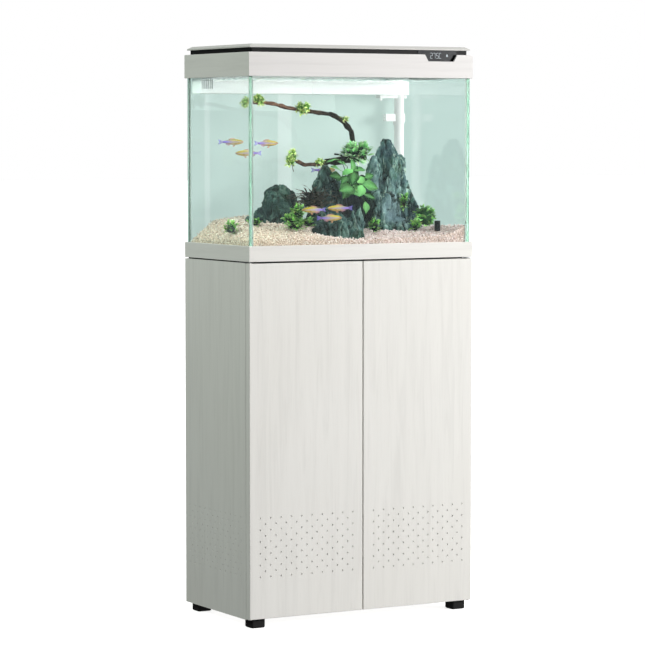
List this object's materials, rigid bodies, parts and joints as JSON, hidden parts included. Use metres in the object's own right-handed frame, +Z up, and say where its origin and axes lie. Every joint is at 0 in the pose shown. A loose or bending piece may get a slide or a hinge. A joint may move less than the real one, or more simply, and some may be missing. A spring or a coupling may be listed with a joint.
{
  "type": "aquarium on stand",
  "caption": "Planted rectangular glass aquarium with a filter hood and hinged lid, standing on a two-door white wood-grain cabinet with perforated lower panels and black feet.",
  "frame": {"origin": "on the floor, under the middle of the footprint", "axes": "+X to the right for a person facing the doors, the doors face -Y, +Z up"},
  "size_m": [0.6, 0.326, 1.342],
  "materials": {
    "white_woodgrain": "matt white wood-grain laminate",
    "white_laminate_inside": "plain white laminate",
    "black_rubber": "matt",
    "zinc_steel": "zinc plated",
    "nylon_white": "satin",
    "grey_plastic": "satin",
    "black_plastic": "satin",
    "foam_black": "closed-cell foam",
    "tank_glass": "polished float glass",
    "silicone_clear": "translucent",
    "aqua_film": "frosted film",
    "display_glass": "smoked, glossy",
    "white_plastic": "glossy",
    "aluminium": "anodised",
    "lamp_diffuser": "opal",
    "circuit_board": "satin",
    "sponge_blue_black": "open foam",
    "ceramic_media": "porous",
    "magnet_rotor": "smooth",
    "ceramic_shaft": "polished",
    "gravel": "natural fine gravel",
    "slate_rock": "rough, veined",
    "driftwood": "weathered bark",
    "leaf_green": "waxy leaf",
    "fish_skin": "pearly"
  },
  "bodies": {
    "root": {"cabinet_left_side": "white_woodgrain", "cabinet_right_side": "white_woodgrain", "cabinet_top": "white_laminate_inside", "cabinet_bottom": "white_laminate_inside", "cabinet_back": "white_laminate_inside", "cabinet_shelf": "white_laminate_inside", "cam_discs": "zinc_steel", "cam_bolts": "zinc_steel", "shelf_pins": "zinc_steel", "fixing_screws": "zinc_steel", "cable_grommet": "black_rubber", "cabinet_feet": "black_rubber", "pivot_arms": "zinc_steel", "pivot_pins": "zinc_steel", "latch_housings": "grey_plastic", "levelling_mat": "foam_black", "base_long_rails": "white_woodgrain", "base_short_rails": "white_woodgrain", "front_glass": "tank_glass", "back_glass": "tank_glass", "left_glass": "tank_glass", "right_glass": "tank_glass", "bottom_glass": "tank_glass", "silicone_seams": "silicone_clear", "background_film": "aqua_film", "hood_front_panel": "white_woodgrain", "hood_rear_panel": "white_woodgrain", "hood_side_panels": "white_woodgrain", "hood_inner_frame": "black_plastic", "display_window": "display_glass", "lid_hinge_brackets": "black_plastic", "lid_hinge_pins": "zinc_steel", "lamp_housing": "aluminium", "lamp_diffuser": "lamp_diffuser", "lamp_strip": "circuit_board", "power_inlet": "black_plastic", "filter_trough": "white_plastic", "filter_sponge": "sponge_blue_black", "ceramic_rings": "ceramic_media", "riser_pipe": "white_plastic", "water_outlets": "white_plastic", "pump_housing": "white_plastic", "pump_cover": "white_plastic", "pump_shaft": "ceramic_shaft", "suction_cups": "silicone_clear", "gravel_bed": "gravel", "rocks": "slate_rock", "driftwood": "driftwood", "water_plants": "leaf_green", "fish_school": "fish_skin", "temperature_probe": "black_plastic"},
    "left_door": {"left_door": "white_woodgrain", "left_door_bushes": "nylon_white"},
    "right_door": {"right_door": "white_woodgrain", "right_door_bushes": "nylon_white"},
    "left_latch_plunger": {"left_latch_plunger": "grey_plastic"},
    "right_latch_plunger": {"right_latch_plunger": "grey_plastic"},
    "top_lid": {"top_lid": "white_woodgrain", "lid_hinge_leaves": "black_plastic"},
    "pump_impeller": {"pump_impeller": "magnet_rotor"}
  },
  "joints": [
    {"name": "left_door_hinge", "type": "hinge", "parent": "root", "child": "left_door", "pos_m": [-0.295, -0.154, 0.43], "axis": [0, 0, -1], "range_deg": [0, 100]},
    {"name": "right_door_hinge", "type": "hinge", "parent": "root", "child": "right_door", "pos_m": [0.295, -0.154, 0.43], "axis": [0, 0, 1], "range_deg": [0, 100]},
    {"name": "left_latch_slide", "type": "slide", "parent": "root", "child": "left_latch_plunger", "axis": [0, -1, 0], "range_m": [0, 0.014]},
    {"name": "right_latch_slide", "type": "slide", "parent": "root", "child": "right_latch_plunger", "axis": [0, -1, 0], "range_m": [0, 0.014]},
    {"name": "lid_hinge", "type": "hinge", "parent": "root", "child": "top_lid", "pos_m": [0, 0.157, 1.3295], "axis": [-1, 0, 0], "range_deg": [0, 95]},
    {"name": "impeller_spin", "type": "hinge", "parent": "root", "child": "pump_impeller", "pos_m": [0.265, 0.12, 0.947], "axis": [0, 1, 0], "continuous": true}
  ],
  "couplings": [
    {"joint": "left_latch_slide", "follows": "left_door_hinge", "m_per_rad": 0.008},
    {"joint": "right_latch_slide", "follows": "right_door_hinge", "m_per_rad": 0.008}
  ]
}
